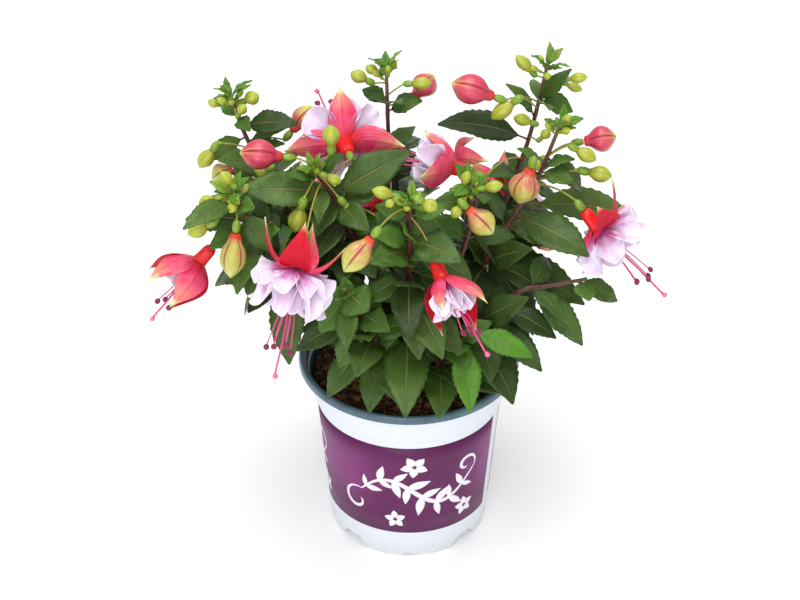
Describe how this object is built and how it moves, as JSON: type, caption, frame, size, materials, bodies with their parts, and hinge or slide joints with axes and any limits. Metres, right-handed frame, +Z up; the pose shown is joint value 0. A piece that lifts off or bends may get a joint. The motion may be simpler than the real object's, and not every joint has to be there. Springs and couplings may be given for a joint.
{
  "type": "potted fuchsia",
  "caption": "Bushy fuchsia in a thin plastic nursery pot, with hanging blooms of swept sepals and ruffled pale petals, buds and pointed leaves on arching stems.",
  "frame": {"origin": "on the ground plane at the pot's axis, which is the middle of the plant's bounding box to within 2 mm", "axes": "+Z up along the pot's axis; the front, which the picture shows, faces -Y; +X to the viewer's right"},
  "size_m": [0.2745, 0.1795, 0.269],
  "materials": {
    "pot": "thin white thermoformed plastic, satin, with a dark teal rim and inside and a purple band",
    "soil": "dark peat with fibres, matt",
    "leaf": "dark green leaves, satin, on brown-red stems",
    "calyx": "crimson pink sepals with yellow-green tips, satin",
    "petal": "pale lilac white petals with magenta bases and veins, satin",
    "stamen": "pink filaments with dark anthers",
    "bud": "closed pink buds with pale green tips, satin"
  },
  "bodies": {
    "root": {"pot": "pot", "soil": "soil", "shoot_upper_left": "leaf", "shoot_centre_left": "leaf", "shoot_left": "leaf", "shoot_top": "leaf", "shoot_front": "leaf", "shoot_upper_right": "leaf", "shoot_right": "leaf", "shoot_centre_right": "leaf", "shoot_low_right": "leaf", "shoot_low_front_right": "leaf", "shoot_low_front_left": "leaf", "shoot_back_left": "leaf", "shoot_back_right": "leaf", "shoot_back": "leaf", "bloom_top_left_calyx": "calyx", "bloom_top_left_corolla": "petal", "bloom_top_left_stamens": "stamen", "bloom_top_centre_calyx": "calyx", "bloom_top_centre_corolla": "petal", "bloom_top_centre_stamens": "stamen", "bloom_left_calyx": "calyx", "bloom_left_corolla": "petal", "bloom_left_stamens": "stamen", "bloom_front_left_calyx": "calyx", "bloom_front_left_corolla": "petal", "bloom_front_left_stamens": "stamen", "bloom_front_calyx": "calyx", "bloom_front_corolla": "petal", "bloom_front_stamens": "stamen", "bloom_right_calyx": "calyx", "bloom_right_corolla": "petal", "bloom_right_stamens": "stamen", "bloom_centre_calyx": "calyx", "bloom_centre_corolla": "petal", "bloom_centre_stamens": "stamen", "bloom_centre_left_calyx": "calyx", "bloom_centre_left_corolla": "petal", "bloom_centre_left_stamens": "stamen", "bloom_back_left_calyx": "calyx", "bloom_back_left_corolla": "petal", "bloom_back_left_stamens": "stamen", "bloom_back_right_calyx": "calyx", "bloom_back_right_corolla": "petal", "bloom_back_right_stamens": "stamen", "bud_1": "bud", "bud_2": "bud", "bud_3": "bud", "bud_4": "bud", "bud_5": "bud", "bud_6": "bud", "bud_7": "bud", "bud_8": "bud", "bud_9": "bud", "bud_10": "bud", "bud_11": "bud", "bud_12": "bud"}
  },
  "joints": []
}
